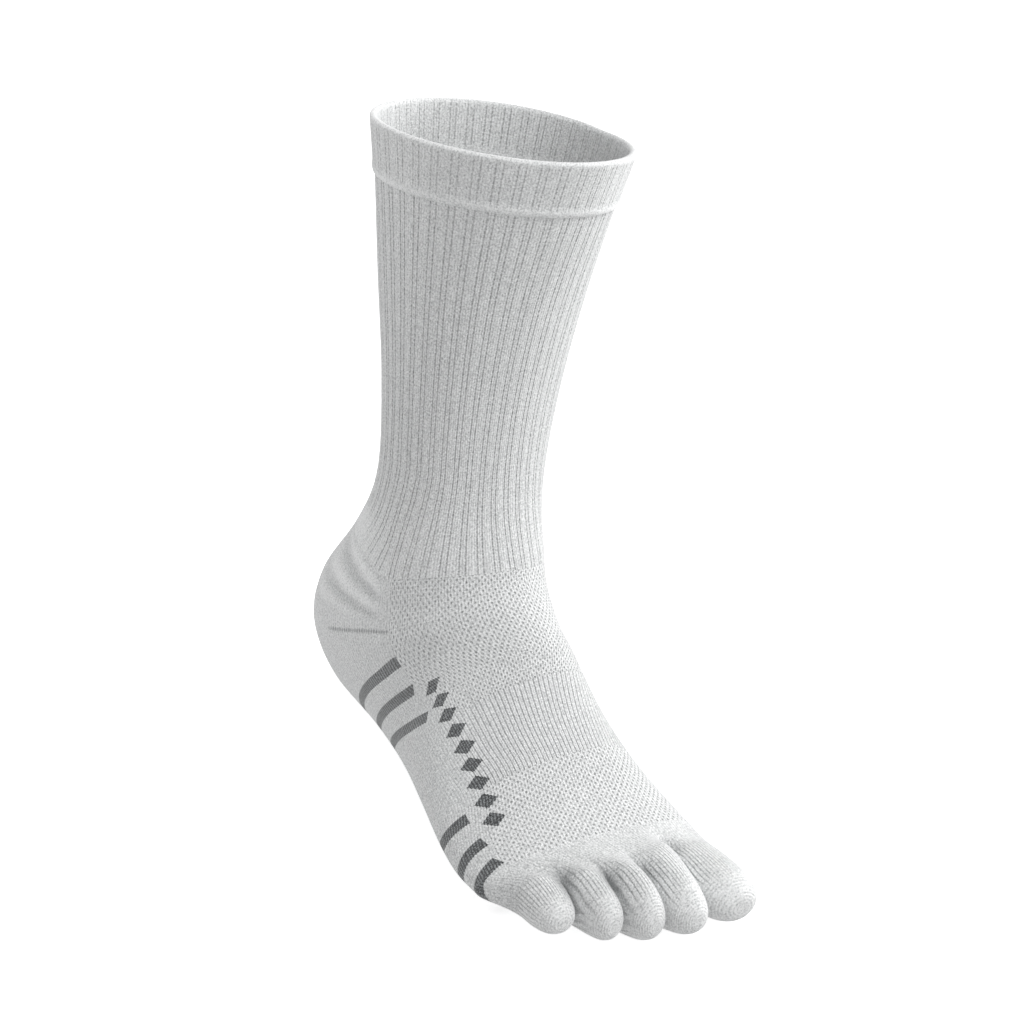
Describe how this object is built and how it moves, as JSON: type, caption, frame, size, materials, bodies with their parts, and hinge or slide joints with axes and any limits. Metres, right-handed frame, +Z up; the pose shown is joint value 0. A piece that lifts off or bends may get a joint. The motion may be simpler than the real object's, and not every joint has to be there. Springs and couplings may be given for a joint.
{
  "type": "toe sock",
  "caption": "Crew-length toe sock for the right foot, with a ribbed leg, an open top, mesh and ribbed zones over the foot and a separate pocket for each toe.",
  "frame": {"origin": "on the inner face of the sole, under the middle of the heel, where the foot stands", "axes": "+Z up the leg, -Y towards the toes, +X towards the big toe's side"},
  "size_m": [0.1089, 0.2448, 0.253],
  "materials": {
    "cuff_knit": "matt doubled welt knit",
    "leg_rib": "matt ribbed knit",
    "heel_knit": "matt plain knit",
    "mesh_knit": "matt open mesh knit",
    "arch_rib": "matt elastic rib knit",
    "sole_knit": "matt plain knit with charcoal stripes at its edge",
    "toe_knit": "matt plain knit"
  },
  "bodies": {
    "root": {"cuff": "cuff_knit", "leg": "leg_rib", "heel": "heel_knit", "instep_mesh": "mesh_knit", "arch_band": "arch_rib", "forefoot_mesh": "mesh_knit", "sole": "sole_knit", "toe_box": "toe_knit", "big_toe": "toe_knit", "second_toe": "toe_knit", "third_toe": "toe_knit", "fourth_toe": "toe_knit", "little_toe": "toe_knit"}
  },
  "joints": []
}
